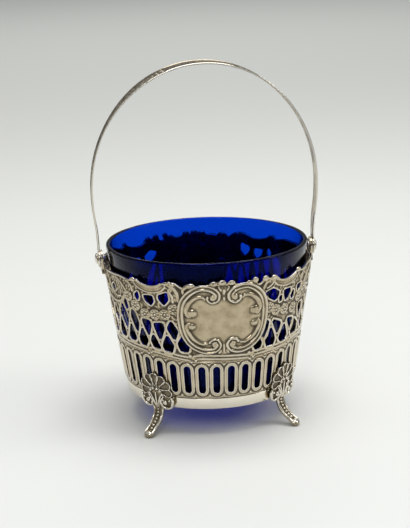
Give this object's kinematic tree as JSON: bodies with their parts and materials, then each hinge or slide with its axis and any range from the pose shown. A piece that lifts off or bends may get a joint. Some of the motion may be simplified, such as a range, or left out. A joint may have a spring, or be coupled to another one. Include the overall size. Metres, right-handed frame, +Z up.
{
  "type": "candy basket",
  "caption": "Small pierced silver basket on shell feet with a lift-out blue glass liner and a swing handle, for sweets or sugar.",
  "frame": {"origin": "on the surface the basket stands on, under the middle of the basket", "axes": "+Z up, front with its cartouche towards -Y, handle hinge line along X"},
  "size_m": [0.1234, 0.115, 0.1932],
  "materials": {
    "silver": "satin",
    "polished_silver": "polished",
    "blue_glass": "gloss"
  },
  "bodies": {
    "basket": {"front_panel": "silver", "back_panel": "silver", "foot_band": "polished_silver", "foot_front_left": "silver", "foot_front_right": "silver", "foot_back_right": "silver", "foot_back_left": "silver", "ear_right": "silver", "ear_left": "silver", "rivet_right": "polished_silver", "rivet_left": "polished_silver"},
    "swing_handle": {"handle": "silver"},
    "liner": {"glass_liner": "blue_glass"}
  },
  "joints": [
    {"name": "handle_swing", "type": "hinge", "parent": "basket", "child": "swing_handle", "pos_m": [0, 0, 0.0895], "axis": [1, 0, 0], "range_deg": [-138, 138]},
    {"name": "glass_lift", "type": "slide", "parent": "basket", "child": "liner", "axis": [0, 0, 1], "range_m": [0, 0.05]}
  ]
}
